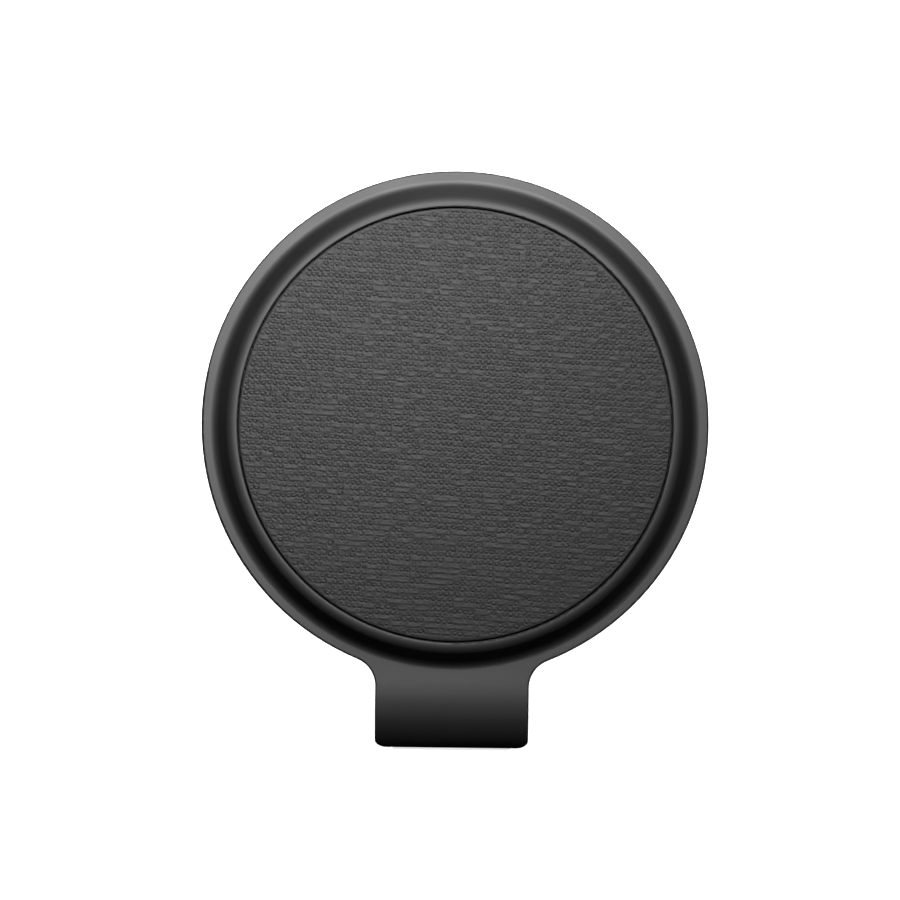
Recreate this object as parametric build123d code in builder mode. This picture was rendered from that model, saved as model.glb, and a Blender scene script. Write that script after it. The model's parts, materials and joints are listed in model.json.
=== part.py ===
from build123d import *
from math import sin, cos, tan, radians, degrees, sqrt
import os

"""Round desk and wall smart home hub.

The head is a puck: a one-piece front bezel with a thin brim, a raised crown and a tab that curls
back under it, a face panel that presses in, and a cupped rear shell with ports, vents, keyholes
and a folding stand leg. On a desk the hub stands on the curled tab and the leg, leaning back.
On a wall the leg folds into its channel and two screw heads hook into the keyholes.

Row frame: +Z up, the face looks along -Y, the origin is the middle of the toe pad's contact face
on the table. Head frame: x to the right, y up the face, z out of the face, z = 0 on the front of
the brim. Places are (x, y) in the head frame. Millimetres and degrees.
"""

os.makedirs("parts", exist_ok=True)

# ---------------------------------------------------------------- driving dimensions
TILT = 15.0  # lean of the face from the vertical, standing on a desk

# front bezel
BRIM_R = 50.0
BRIM_T = 2.3  # thickness of the brim and the tab
CROWN_FOOT_R = 48.3  # where the brim's flat face meets the fillet of the crown
BEAD_R = 43.2  # centre of the bead at the top of the crown
BORE_R = 42.85  # bore that the face panel sits in
WALL_SLOPE = 65.0  # crown wall, from the plane of the brim
BEAD_ROUND = 2.15  # round at the top of the crown wall
FOOT_ROUND = 1.99  # fillet at the foot of the crown wall
EDGE_ROUND = 0.45  # edges of the brim and the tab
SHELF_Z = -0.7  # floor of the bore

# tab and toe pad
TAB_W = 30.3
TAB_SIDE_R = 5.7  # fillet between the tab's sides and the brim
BEND_Y = -50.6  # where the tab starts to curl
CURL = [(40.0, 3.44), (20.0, 15.07), (10.5, 68.0)]  # front radius, angle reached
TAB_CORNER_R = 2.6
TAB_END_DIP = 0.55  # how far the tab's end edge is hollowed at the middle
TOE_GAP = 0.5  # how far the toe pad stands proud of the tab
TOE_SETBACK = 4.4  # toe pad's middle, behind the tab's lowest line
TOE_HALF_W = 12.0

# rear shell
SHELL_R = 44.6  # at the brim
SHELL_R_BACK = 44.0
SHELL_BACK = -22.0  # outside of the back wall
SHELL_WALL = 2.0
SHELL_FLOOR = SHELL_BACK + SHELL_WALL  # inside of the back wall
SHELL_EDGE = 5.0  # rear edge round
CHANNEL_FLOOR = SHELL_BACK + 4.7  # floor of the leg channel

# leg and hinge
PIVOT_Y, PIVOT_Z = 2.0, -18.3
PIVOT = (PIVOT_Y, PIVOT_Z)
LEG_OPEN = 32.0  # angle from folded to standing
LEG_W = 26.0
LEG_T = 3.2
BARREL_R = 3.4
LEG_INNER = BARREL_R - LEG_T  # leg's inner face, out from the pivot
PIN_R = 1.5
EAR_R = 3.1
HINGE_SEAT = -14.2  # back of the hinge bracket's plate
HINGE_PLATE_T = 1.2
PAD_TOP = 1.6  # height where the leg ends and its foot pad starts

# inner levels along z
MID_TOP = -BRIM_T
MID_BOTTOM = -4.0
BOARD_TOP = -6.6
BOARD_BOTTOM = -8.2
BOARD_R = 39.0
CUT_START = SHELL_BACK - 1  # cuts into the shell start 1 mm outside it
RIB_START = SHELL_BACK + 0.5  # walls inside the shell start within its back wall

# places in the head frame
SHELL_SCREWS = [(20.8, 30.3), (-20.8, 30.3), (20.8, -30.3), (-20.8, -30.3)]
BOARD_SCREWS = [(34.0, 4.0), (-34.0, 4.0), (12.0, -35.0), (-12.0, -35.0)]
HINGE_SCREWS = [(-9.0, -5.0), (9.0, -5.0)]
HOOK_ANGLES = (30, 150, 270)
SPEAKER_X, SPEAKER_Y = SPEAKER = (0.0, 24.2)
JACK_X, JACK_Y = JACK = (27.0, -9.5)
USB = (-25.0, -5.0)
RESET = (-25.0, -17.0)
KEYHOLES = [(25.0, 9.0), (-25.0, 9.0)]
LABEL = (0, -25.5)
RIBBON_SLOT_W = 7.4


def around(angle, radius):
    return Rot(0, 0, angle) * Pos(radius, 0)


MID_SCREWS = [around(angle, 37.5) for angle in (45, 135, 225, 315)]

# ---------------------------------------------------------------- curl of the tab


def arc_point(centre_y, centre_z, radius, angle):
    """The head frame's (y, z) on an arc of the curl, angle from the brim's front."""
    return centre_y - radius * sin(radians(angle)), centre_z + radius * cos(radians(angle))


def find_curl_arcs():
    """Tangent arcs of the curl's front: centre y, centre z, radius, start and end angle."""
    arcs, y, z, start = [], BEND_Y, 0.0, 0.0
    for radius, end in CURL:
        centre_y = y + radius * sin(radians(start))
        centre_z = z - radius * cos(radians(start))
        arcs.append((centre_y, centre_z, radius, start, end))
        y, z = arc_point(centre_y, centre_z, radius, end)
        start = end
    return arcs


CURL_ARCS = find_curl_arcs()
TIP_Y, TIP_Z, TIP_R, _, TIP_ANGLE = CURL_ARCS[-1]

# ---------------------------------------------------------------- frames
SIN_TILT, COS_TILT = sin(radians(TILT)), cos(radians(TILT))
RIGHT = Vector(1, 0, 0)
UP = Vector(0, SIN_TILT, COS_TILT)
OUT = Vector(0, -COS_TILT, SIN_TILT)

# centre of the edge round at the tab's lowest point sets the height of the head
low_r = TIP_R - EDGE_ROUND
low_y, low_z = arc_point(TIP_Y, TIP_Z, low_r, TIP_ANGLE - degrees(EDGE_ROUND / low_r))
ORIGIN = Vector(
    0,
    -(low_y * SIN_TILT - low_z * COS_TILT + TOE_SETBACK),
    -(low_y * COS_TILT + low_z * SIN_TILT) + EDGE_ROUND + TOE_GAP,
)

HEAD = Plane(origin=ORIGIN, x_dir=RIGHT, z_dir=OUT)
PROFILE = Plane(origin=ORIGIN, x_dir=RIGHT, z_dir=UP * -1)  # (radius, z)
SIDE = Plane(origin=ORIGIN, x_dir=UP, z_dir=RIGHT)  # (y, z)
AXIS = Axis(ORIGIN, OUT)


def head(z):
    """The plane parallel to the face at z."""
    return HEAD.offset(z)


def point(x, y, z):
    """A head-frame point in the row frame."""
    return ORIGIN + RIGHT * x + UP * y + OUT * z


def local(place):
    """A row-frame point in the head frame."""
    d = Vector(place.X, place.Y, place.Z) - ORIGIN
    return Vector(d.X, d.dot(UP), d.dot(OUT))


leg_angle = radians(LEG_OPEN)
pivot_point = point(0, PIVOT_Y, PIVOT_Z)
LEG_ALONG = UP * -cos(leg_angle) + OUT * -sin(leg_angle)  # pivot to tip
LEG_OUT = UP * sin(leg_angle) + OUT * -cos(leg_angle)  # out of the leg's outer face
LEG_SIDE = Plane(origin=pivot_point, x_dir=LEG_ALONG, z_dir=RIGHT)  # (along, out)
LEG_FACE = Plane(origin=pivot_point, x_dir=RIGHT, z_dir=LEG_OUT)  # (x, along)
SPEAKER_PROFILE = Plane(origin=point(*SPEAKER, 0), x_dir=RIGHT, z_dir=UP * -1)
SPEAKER_AXIS = Axis(point(*SPEAKER, 0), OUT)

# ---------------------------------------------------------------- shared builders


def save(part, name):
    part.label = name
    export_step(part, f"parts/{name}.step")


def discs(z, height, radius, hole=0, places=((0, 0),)):
    """Discs or rings parallel to the face."""
    with BuildPart() as body:
        with BuildSketch(head(z)):
            with Locations(*places):
                Circle(radius)
                if hole:
                    Circle(hole, mode=Mode.SUBTRACT)
        extrude(amount=height)
    return body.part


def blocks(z, height, boxes, corner=0):
    """Boxes parallel to the face, each (x, y, width, height up the face)."""
    with BuildPart() as body:
        with BuildSketch(head(z)):
            for x, y, w, h in boxes:
                with Locations((x, y)):
                    if corner:
                        RectangleRounded(w, h, corner)
                    else:
                        Rectangle(w, h)
        extrude(amount=height)
    return body.part


def screws(places, back, head_r, head_h, shank_r, shank_length, socket_r, socket_depth):
    """Screws with their heads at the back and hexagon sockets."""
    with BuildPart() as body:
        with BuildSketch(head(back)):
            with Locations(*places):
                Circle(head_r)
        extrude(amount=head_h)
        with BuildSketch(head(back + head_h)):
            with Locations(*places):
                Circle(shank_r)
        extrude(amount=shank_length)
        with BuildSketch(head(back)):
            with Locations(*places):
                RegularPolygon(socket_r, 6)
        extrude(amount=socket_depth, mode=Mode.SUBTRACT)
    return body.part


def radio_module(x, y, w, h, can_height):
    """A small board with a shield can 1 mm in from its edges."""
    board_t = 0.8
    with BuildPart() as body:
        with BuildSketch(head(BOARD_TOP)):
            with Locations((x, y)):
                Rectangle(w, h)
        extrude(amount=board_t)
        with BuildSketch(head(BOARD_TOP + board_t)):
            with Locations((x, y)):
                RectangleRounded(w - 2, h - 2, 0.5)
        extrude(amount=can_height)
    return body.part


def antenna(mid_angle):
    """A strip on the shell's inner wall."""
    arc, front, back = 44, -10.0, -16.8
    gap, outer_gap = 0.34, 0.02  # wall to the strip's inner and outer faces
    start = radians(mid_angle - arc / 2)
    ray = RIGHT * cos(start) + UP * sin(start)
    side = UP * cos(start) - RIGHT * sin(start)
    with BuildPart() as body:
        with BuildSketch(Plane(origin=ORIGIN, x_dir=ray, z_dir=side * -1)):
            with BuildLine():
                Polyline(
                    (shell_inside(front) - outer_gap, front),
                    (shell_inside(back) - outer_gap, back),
                    (shell_inside(back) - gap, back),
                    (shell_inside(front) - gap, front),
                    close=True,
                )
            make_face()
        revolve(axis=AXIS, revolution_arc=arc)
    return body.part


def shell_inside(z):
    """Radius of the shell's inner wall at z."""
    slope = (SHELL_R_BACK - SHELL_R) / (-BRIM_T - SHELL_BACK - SHELL_EDGE)
    return SHELL_R - SHELL_WALL + slope * (-BRIM_T - z)


def cable(places, radius):
    """A round cable through head-frame points."""
    with BuildPart() as body:
        with BuildLine():
            path = Spline(*[point(*place) for place in places])
        with BuildSketch(Plane(origin=path @ 0, z_dir=path % 0)):
            Circle(radius)
        sweep()
    return body.part


def speaker_turning(outline):
    """An outline of (radius, z) turned about the speaker's axis."""
    with BuildPart() as body:
        with BuildSketch(SPEAKER_PROFILE):
            Polygon(*outline, align=None)
        revolve(axis=SPEAKER_AXIS)
    return body.part


# ---------------------------------------------------------------- front bezel
wall = radians(WALL_SLOPE)
FOOT_END = (CROWN_FOOT_R - FOOT_ROUND * sin(wall), FOOT_ROUND * (1 - cos(wall)))
wall_top_r = BEAD_R + BEAD_ROUND * sin(wall)
wall_top_z = FOOT_END[1] + (FOOT_END[0] - wall_top_r) * tan(wall)
CROWN_H = wall_top_z + BEAD_ROUND * (1 - cos(wall))


def tab_plate():
    """The brim's disc and the tab, curled and rounded at the edges."""
    top_y = BRIM_R + 1
    with BuildPart() as body:
        with BuildSketch(SIDE):
            with BuildLine():
                Line((top_y, 0), (BEND_Y, 0))
                for centre_y, centre_z, radius, start, end in CURL_ARCS:
                    CenterArc((centre_y, centre_z), radius, 90 + start, end - start)
                    CenterArc((centre_y, centre_z), radius - BRIM_T, 90 + start, end - start)
                Line(
                    arc_point(TIP_Y, TIP_Z, TIP_R, TIP_ANGLE),
                    arc_point(TIP_Y, TIP_Z, TIP_R - BRIM_T, TIP_ANGLE),
                )
                Line((BEND_Y, -BRIM_T), (top_y, -BRIM_T))
                Line((top_y, -BRIM_T), (top_y, 0))
            make_face()
        extrude(amount=BRIM_R + 5, both=True)
        with BuildSketch(head(1)) as outline:
            Circle(BRIM_R)
            Rectangle(TAB_W, 70, align=(Align.CENTER, Align.MAX))
            notch_y = -sqrt(BRIM_R**2 - (TAB_W / 2) ** 2)
            notches = [
                v
                for v in outline.vertices()
                if abs(v.Y - notch_y) < 0.05 and abs(abs(v.X) - TAB_W / 2) < 0.05
            ]
            fillet(notches, TAB_SIDE_R)
        extrude(amount=-14, mode=Mode.INTERSECT)

        # the end edge is very slightly hollow from side to side
        tip = radians(TIP_ANGLE)
        tip_normal = OUT * cos(tip) - UP * sin(tip)
        tip_along = UP * -cos(tip) - OUT * sin(tip)
        tip_centre = point(0, *arc_point(TIP_Y, TIP_Z, TIP_R - BRIM_T / 2, TIP_ANGLE))
        hollow_r = (TAB_W / 2) ** 2 / (2 * TAB_END_DIP)
        hollow_centre = tip_centre + tip_along * (hollow_r - TAB_END_DIP - 0.05)
        with BuildSketch(Plane(origin=hollow_centre, x_dir=RIGHT, z_dir=tip_normal)):
            Circle(hollow_r)
        extrude(amount=3, both=True, mode=Mode.SUBTRACT)

        def is_tip_corner(edge):
            on_side = abs(abs(local(edge.center()).X) - TAB_W / 2) < 0.01
            near_tip = (edge.center() - tip_centre).dot(tip_along) > -0.5
            return on_side and near_tip and edge.length < BRIM_T + 0.2

        fillet(body.edges().filter_by(is_tip_corner), TAB_CORNER_R)

        # where the arcs of the curl meet, front and back
        seams = [
            arc_point(centre_y, centre_z, r, start)
            for centre_y, centre_z, radius, start, _ in CURL_ARCS
            for r in (radius, radius - BRIM_T)
        ]

        def is_rim(edge):
            """Not a seam across the tab's width or through its thickness."""
            middle = local(edge.center())
            span = local(edge.position_at(1)) - local(edge.position_at(0))
            on_seam = any(
                abs(middle.Y - y) < 0.02 and abs(middle.Z - z) < 0.02 for y, z in seams
            )
            if on_seam and abs(span.X) > 0.9 * span.length:
                return False
            return not (abs(span.length - BRIM_T) < 0.06 and abs(span.X) < 0.01)

        fillet(body.edges().filter_by(is_rim), EDGE_ROUND)
    return body.part


def front_bezel():
    lip_round = 0.35  # at the top of the bore
    overlap_z = -0.2  # the crown starts inside the brim
    boss_h = 2.8
    tab = tab_plate()
    with BuildPart() as body:
        add(tab)
        # crown
        with BuildSketch(PROFILE):
            with BuildLine():
                Line((BORE_R, overlap_z), (BORE_R, CROWN_H - lip_round))
                CenterArc((BORE_R + lip_round, CROWN_H - lip_round), lip_round, 180, -90)
                bead = CenterArc((BEAD_R, CROWN_H - BEAD_ROUND), BEAD_ROUND, 90, -WALL_SLOPE)
                Line(bead @ 1, FOOT_END)
                CenterArc((CROWN_FOOT_R, FOOT_ROUND), FOOT_ROUND, 270 - WALL_SLOPE, WALL_SLOPE)
                Line((CROWN_FOOT_R, 0), (CROWN_FOOT_R, overlap_z))
                Line((CROWN_FOOT_R, overlap_z), (BORE_R, overlap_z))
            make_face()
        revolve(axis=AXIS, revolution_arc=360)
        # bore for the face panel down to the shelf, then the opening inside the shelf
        with BuildSketch(head(SHELF_Z)):
            Circle(BORE_R)
        extrude(amount=12, mode=Mode.SUBTRACT)
        with BuildSketch(head(-BRIM_T - 1)):
            Circle(33.0)
        extrude(amount=6, mode=Mode.SUBTRACT)
        # rib that locates the rear shell, and bosses for its screws
        with BuildSketch(head(-BRIM_T)):
            Circle(42.4)
            Circle(41.6, mode=Mode.SUBTRACT)
        extrude(amount=-2.0)
        with BuildSketch(head(-BRIM_T)):
            with Locations(*SHELL_SCREWS):
                Circle(3.2)
        extrude(amount=-boss_h)
        with BuildSketch(head(-BRIM_T - boss_h)):
            with Locations(*SHELL_SCREWS):
                Circle(1.25)
        extrude(amount=3.6, mode=Mode.SUBTRACT)
        # pilot holes for the mid frame's screws
        with BuildSketch(head(-BRIM_T)):
            with Locations(*MID_SCREWS):
                Circle(0.9)
        extrude(amount=1.3, mode=Mode.SUBTRACT)
        # notch in the shelf for the halo board's ribbon
        with BuildSketch(head(-BRIM_T - 1)):
            with Locations((0, -35.6)):
                Rectangle(RIBBON_SLOT_W, 6.4)
        extrude(amount=4, mode=Mode.SUBTRACT)
    return body.part


# toe pad's section in the row frame, (y, z)
TOE_OUTLINE = [
    (-2.4, 0), (2.4, 0), (2.4, 1.6), (0.9, 3.9), (-1.2, 5.4), (-5.4, 5.4), (-3.7, 1.3), (-2.4, 0),
]


def toe_pad(bezel):
    """Rubber pad in the curl of the tab and over its end, flat on the table."""

    def is_upper_rear(edge):
        c = edge.center()
        return abs(c.X) < 0.1 and c.Y > 0.5 and c.Z > 1

    def is_end(edge):
        c = edge.center()
        return abs(abs(c.X) - TOE_HALF_W) < 0.01 and c.Y > -2.5

    with BuildPart() as body:
        with BuildSketch(Plane.YZ):
            with BuildLine():
                Polyline(*TOE_OUTLINE, close=True)
            make_face()
        extrude(amount=TOE_HALF_W, both=True)
        fillet(body.edges().filter_by(is_upper_rear), 1.0)
        fillet(body.edges().filter_by(is_end), 0.5)
        add(bezel, mode=Mode.SUBTRACT)
    return body.part.solids().sort_by(SortBy.VOLUME)[-1]


# ---------------------------------------------------------------- face panel, which presses
SKIN_BACK = CROWN_H - 1.1
ADHESIVE_T = 0.15
CARRIER_TOP = SKIN_BACK - ADHESIVE_T
CARRIER_T = 1.4
CARRIER_BOTTOM = CARRIER_TOP - CARRIER_T
PLUNGER_R = 3.0
PLUNGER_END = -3.0
HOOK_END = -4.9


def face_skin():
    with BuildPart() as body:
        with BuildSketch(head(SKIN_BACK)):
            Circle(42.5)
        extrude(amount=0.85)
        fillet(body.edges().filter_by(GeomType.CIRCLE).sort_by(AXIS)[-1], 0.3)
    return body.part


def face_carrier():
    with BuildPart() as body:
        with BuildSketch(head(CARRIER_BOTTOM)):
            Circle(42.3)
        extrude(amount=CARRIER_T)
        # stiffening ribs
        with BuildSketch(head(CARRIER_BOTTOM)):
            Circle(20.8)
            Circle(19.6, mode=Mode.SUBTRACT)
            with PolarLocations(18.0, 6):
                Rectangle(34.0, 1.2)
            Circle(PLUNGER_R)
        extrude(amount=-1.5)
        # plunger over the switch
        with BuildSketch(head(CARRIER_BOTTOM)):
            Circle(PLUNGER_R)
        extrude(amount=PLUNGER_END - CARRIER_BOTTOM)
        # snap hooks that hold the panel to the mid frame: stem, then barb
        for angle in HOOK_ANGLES:
            with BuildSketch(head(CARRIER_BOTTOM)):
                with Locations(around(angle, 27.0)):
                    Rectangle(1.4, 6.0)
            extrude(amount=HOOK_END - CARRIER_BOTTOM)
            with BuildSketch(head(HOOK_END)):
                with Locations(around(angle, 27.45)):
                    Rectangle(2.3, 6.0)
            extrude(amount=0.82)
    return body.part


# ---------------------------------------------------------------- halo light behind the panel's gap
HALO_T = 0.8
HALO_TOP = SHELF_Z + HALO_T
GUIDE_BACK = 0.9


def halo_leds():
    with BuildPart() as body:
        with BuildSketch(head(HALO_TOP)):
            with PolarLocations(41.3, 12, start_angle=15):
                Rectangle(1.2, 1.8)
        extrude(amount=0.7)
    return body.part


def light_guide():
    """Ring on six feet that stand on the halo board."""
    with BuildPart() as body:
        with BuildSketch(head(GUIDE_BACK)):
            Circle(42.7)
            Circle(39.4, mode=Mode.SUBTRACT)
        extrude(amount=CARRIER_BOTTOM - 0.75 - GUIDE_BACK)
        with BuildSketch(head(GUIDE_BACK)):
            with PolarLocations(39.95, 6):
                Rectangle(0.9, 4.0)
        extrude(amount=HALO_TOP - GUIDE_BACK)
    return body.part


# ---------------------------------------------------------------- mid frame


def mid_frame():
    thickness = MID_TOP - MID_BOTTOM
    guide_h = 3.6
    with BuildPart() as body:
        with BuildSketch(head(MID_BOTTOM)):
            Circle(41.4)
            with Locations(*SHELL_SCREWS):
                Circle(3.5, mode=Mode.SUBTRACT)
            for angle in HOOK_ANGLES:
                with Locations(around(angle, 27.4)):
                    Rectangle(2.9, 7.0, mode=Mode.SUBTRACT)
                with Locations(around(angle + 60, 22.0)):
                    SlotOverall(12.0, 3.0, rotation=90, mode=Mode.SUBTRACT)
        extrude(amount=thickness)
        # ledges on the outer edge of each hook slot, where the barbs catch
        for angle in HOOK_ANGLES:
            with BuildSketch(head(MID_BOTTOM)):
                with Locations(around(angle, 28.55)):
                    Rectangle(1.2, 7.0)
            extrude(amount=thickness)
        # guide for the plunger
        with BuildSketch(head(MID_BOTTOM)):
            Circle(4.6)
        extrude(amount=guide_h)
        with BuildSketch(head(MID_BOTTOM)):
            Circle(PLUNGER_R + 0.06)
        extrude(amount=guide_h, mode=Mode.SUBTRACT)
        # posts for the board
        with BuildSketch(head(MID_BOTTOM)):
            with Locations(*BOARD_SCREWS):
                Circle(2.4)
        extrude(amount=BOARD_TOP - MID_BOTTOM)
        with BuildSketch(head(BOARD_TOP)):
            with Locations(*BOARD_SCREWS):
                Circle(0.9)
        extrude(amount=3.2, mode=Mode.SUBTRACT)
        # holes and counterbores for the screws into the bezel
        for radius, depth in ((1.1, 4), (2.0, 0.8)):
            with BuildSketch(head(MID_BOTTOM)):
                with Locations(*MID_SCREWS):
                    Circle(radius)
            extrude(amount=depth, mode=Mode.SUBTRACT)
        # slot for the halo board's ribbon
        with BuildSketch(head(MID_BOTTOM)):
            with Locations((0, -35.3)):
                Rectangle(RIBBON_SLOT_W, 2.0)
        extrude(amount=4, mode=Mode.SUBTRACT)
    return body.part


# ---------------------------------------------------------------- main board and what it carries
SHIELD_H = 1.7
THERMAL_PAD_T = 0.5

# (x, y, width, height up the face)
FRONT_CHIPS = [
    (14, 2, 6, 6), (-13, 3, 5, 4), (25, 2.5, 4, 5), (-3, -13, 4, 4),
    (4.5, -17, 5, 3), (-27, 12, 4, 4), (27, 14, 3, 4),
]
BACK_CHIPS = [(8, -22, 7, 5), (-8, -20, 5, 5), (-6, -30, 4, 3), (6, -30, 3, 3)]


def main_board():
    with BuildPart() as body:
        with BuildSketch(head(BOARD_BOTTOM)):
            Circle(BOARD_R)
            with Locations(*SHELL_SCREWS):
                Circle(3.6, mode=Mode.SUBTRACT)
            with Locations(*BOARD_SCREWS):
                Circle(1.1, mode=Mode.SUBTRACT)
            with Locations((0, 38.5)):
                Rectangle(16, 2.4, mode=Mode.SUBTRACT)
        extrude(amount=BOARD_TOP - BOARD_BOTTOM)
    return body.part


def face_switch():
    with BuildPart() as body:
        with BuildSketch(head(BOARD_TOP)):
            RectangleRounded(6.2, 6.2, 0.4)
        extrude(amount=1.9)
        with BuildSketch(head(BOARD_TOP + 0.3)):
            Circle(1.66)
        extrude(amount=2.0, mode=Mode.SUBTRACT)
    return body.part


def face_switch_stem():
    with BuildPart() as body:
        with BuildSketch(head(-5.6)):
            Circle(1.6)
        extrude(amount=2.55)
        fillet(body.edges().filter_by(GeomType.CIRCLE).sort_by(AXIS)[-1], 0.3)
    return body.part


def processor_shield():
    """A can with 0.25 mm walls, open towards the board."""
    w, h, sheet = 26, 18, 0.25
    with BuildPart() as body:
        with BuildSketch(head(BOARD_TOP)):
            with Locations((0, 20.0)):
                RectangleRounded(w, h, 0.8)
        extrude(amount=SHIELD_H)
        with BuildSketch(head(BOARD_TOP)):
            with Locations((0, 20.0)):
                RectangleRounded(w - 2 * sheet, h - 2 * sheet, 0.6)
        extrude(amount=SHIELD_H - sheet, mode=Mode.SUBTRACT)
    return body.part


def board_chips():
    with BuildPart() as body:
        for z, height, chips in ((BOARD_TOP, 0.9, FRONT_CHIPS), (BOARD_BOTTOM, -1.1, BACK_CHIPS)):
            with BuildSketch(head(z)):
                for x, y, w, h in chips:
                    with Locations((x, y)):
                        Rectangle(w, h)
            extrude(amount=height)
    return body.part


def capacitors():
    with BuildPart() as body:
        with BuildSketch(head(BOARD_BOTTOM)):
            with Locations((-33.5, -10.5), (-33.0, -3.0)):
                Circle(2.5)
            with Locations((30.5, -20.6)):
                Circle(1.9)
        extrude(amount=-5.4)
        fillet(body.edges().filter_by(GeomType.CIRCLE).group_by(AXIS)[0], 0.4)
    return body.part


def power_inductor():
    with BuildPart() as body:
        with BuildSketch(head(BOARD_BOTTOM)):
            with Locations((-12.0, -27.5)):
                RectangleRounded(6.4, 6.4, 1.0)
        extrude(amount=-2.8)
        fillet(body.faces().sort_by(AXIS)[0].edges(), 0.4)
    return body.part


# ---------------------------------------------------------------- sockets
JACK_W, JACK_H = 16.0, 13.4
CONTACT_PITCH = 1.02
# one network contact, (y from the jack's middle, z)
CONTACT_OUTLINE = [
    (4.19, -12.0), (4.19, -20.6), (3.85, -20.9), (0.9, -13.2),
    (1.25, -12.9), (3.75, -19.4), (3.75, -12.0),
]
USB_MOUTH = -17.4
USB_DEPTH = 6.4


def network_socket():
    """A moulded box with its mouth at the back wall."""
    with BuildPart() as body:
        with BuildSketch(head(BOARD_BOTTOM)):
            with Locations(JACK):
                Rectangle(JACK_W, JACK_H)
        extrude(amount=SHELL_BACK + 0.1 - BOARD_BOTTOM)
        with BuildSketch(head(SHELL_BACK)):
            with Locations((JACK_X, JACK_Y + 0.6)):
                Rectangle(11.8, 7.2)
            with Locations((JACK_X, JACK_Y - 4.0)):
                Rectangle(6.4, 3.0)
            with Locations((JACK_X, JACK_Y - 5.6)):
                Rectangle(3.4, 2.0)
        extrude(amount=10.5, mode=Mode.SUBTRACT)
    return body.part


def network_contacts():
    with BuildPart() as contact:
        with BuildSketch(Plane(origin=point(*JACK, 0), x_dir=UP, z_dir=RIGHT)):
            Polygon(*CONTACT_OUTLINE, align=None)
        extrude(amount=0.2, both=True)
    with BuildPart() as body:
        for k in range(8):
            add(contact.part.moved(Location(((k - 3.5) * CONTACT_PITCH, 0, 0))))
    return body.part


def usb_power_socket():
    length, width, sheet = 8.94, 3.2, 0.3
    with BuildPart() as body:
        with BuildSketch(head(BOARD_BOTTOM)):
            with Locations(USB):
                SlotOverall(length, width)
        extrude(amount=USB_MOUTH - BOARD_BOTTOM)
        with BuildSketch(head(USB_MOUTH)):
            with Locations(USB):
                SlotOverall(length - 2 * sheet, width - 2 * sheet)
        extrude(amount=USB_DEPTH, mode=Mode.SUBTRACT)
    return body.part


def usb_tongue():
    with BuildPart() as body:
        with BuildSketch(head(USB_MOUTH + USB_DEPTH)):
            with Locations(USB):
                Rectangle(6.6, 0.7)
        extrude(amount=-5.6)
        fillet(body.faces().sort_by(AXIS)[0].edges(), 0.15)
    return body.part


# ---------------------------------------------------------------- reset button
RESET_SWITCH_H = 3.5
RESET_STEM_BACK = -12.9
FLANGE_BACK = SHELL_FLOOR + 0.05
FLANGE_T = 0.95


def reset_switch():
    with BuildPart() as body:
        with BuildSketch(head(BOARD_BOTTOM)):
            with Locations(RESET):
                RectangleRounded(6.0, 6.0, 0.4)
        extrude(amount=-RESET_SWITCH_H)
        with BuildSketch(head(BOARD_BOTTOM - RESET_SWITCH_H)):
            with Locations(RESET):
                Circle(1.76)
        extrude(amount=3.1, mode=Mode.SUBTRACT)
    return body.part


def reset_button():
    """Flange inside the back wall, cap through it, rod to the switch."""
    with BuildPart() as body:
        with BuildSketch(head(FLANGE_BACK)):
            with Locations(RESET):
                Circle(3.2)
        extrude(amount=FLANGE_T)
        with BuildSketch(head(SHELL_BACK + 0.3)):
            with Locations(RESET):
                Circle(2.2)
        extrude(amount=1.8)
        fillet(body.edges().filter_by(GeomType.CIRCLE).sort_by(AXIS)[0], 0.35)
        with BuildSketch(head(FLANGE_BACK + FLANGE_T)):
            with Locations(RESET):
                Circle(1.5)
        extrude(amount=6.05)
    return body.part


# ---------------------------------------------------------------- cable runs, (x, y, z)
WIFI_CABLE = [(-37.7, 14.6, -12.5), (-34.5, 13.5, -11.0), (-31.5, 5.0, -10.4), (-29.5, 1.5, -9.6)]
MESH_CABLE = [(37.7, 14.6, -12.5), (34.8, 13.5, -11.0), (31.5, 5.0, -10.4), (29.5, 1.5, -9.6)]
SPEAKER_CABLE = [
    (6.0, 9.85, -14.6), (6.9, 9.35, -12.0), (9.0, 7.4, -10.2), (12.6, 2.5, -9.8),
    (13.2, -4.0, -9.7), (12.0, -10.5, -9.3), (10.9, -12.55, -9.1),
]
# section of the halo board's ribbon, (y, z)
RIBBON_OUTLINE = [
    (-38.2, -0.7), (-35.2, -0.7), (-35.2, -5.9), (-33.4, -5.9),
    (-33.4, -6.1), (-35.4, -6.1), (-35.4, -0.9), (-38.2, -0.9),
]


def halo_ribbon():
    """Flat ribbon from the halo board, through the frame's edge, to the main board."""
    with BuildPart() as body:
        with BuildSketch(SIDE):
            with BuildLine():
                Polyline(*RIBBON_OUTLINE, close=True)
            make_face()
        extrude(amount=3.0, both=True)
    return body.part


# ---------------------------------------------------------------- speaker
SPEAKER_BACK = SHELL_FLOOR + 0.05
MAGNET_BACK = -15.9
MAGNET_FRONT = -12.4
MAGNET_R = 9.4
# turned sections, (radius, z)
SPEAKER_FRAME = [
    (13.5, -19.2), (13.5, -18.3), (12.6, -18.3), (9.6, -16.4), (9.6, -15.9),
    (6.2, -15.9), (6.2, -16.5), (9.0, -16.5), (12.3, -18.7), (12.3, -19.2),
]
SPEAKER_CONE = [
    (0, -18.35), (2.2, -18.2), (3.9, -17.3), (9.8, -18.9),
    (9.8, -19.1), (3.9, -17.5), (2.2, -18.4), (0, -18.55),
]


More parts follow.
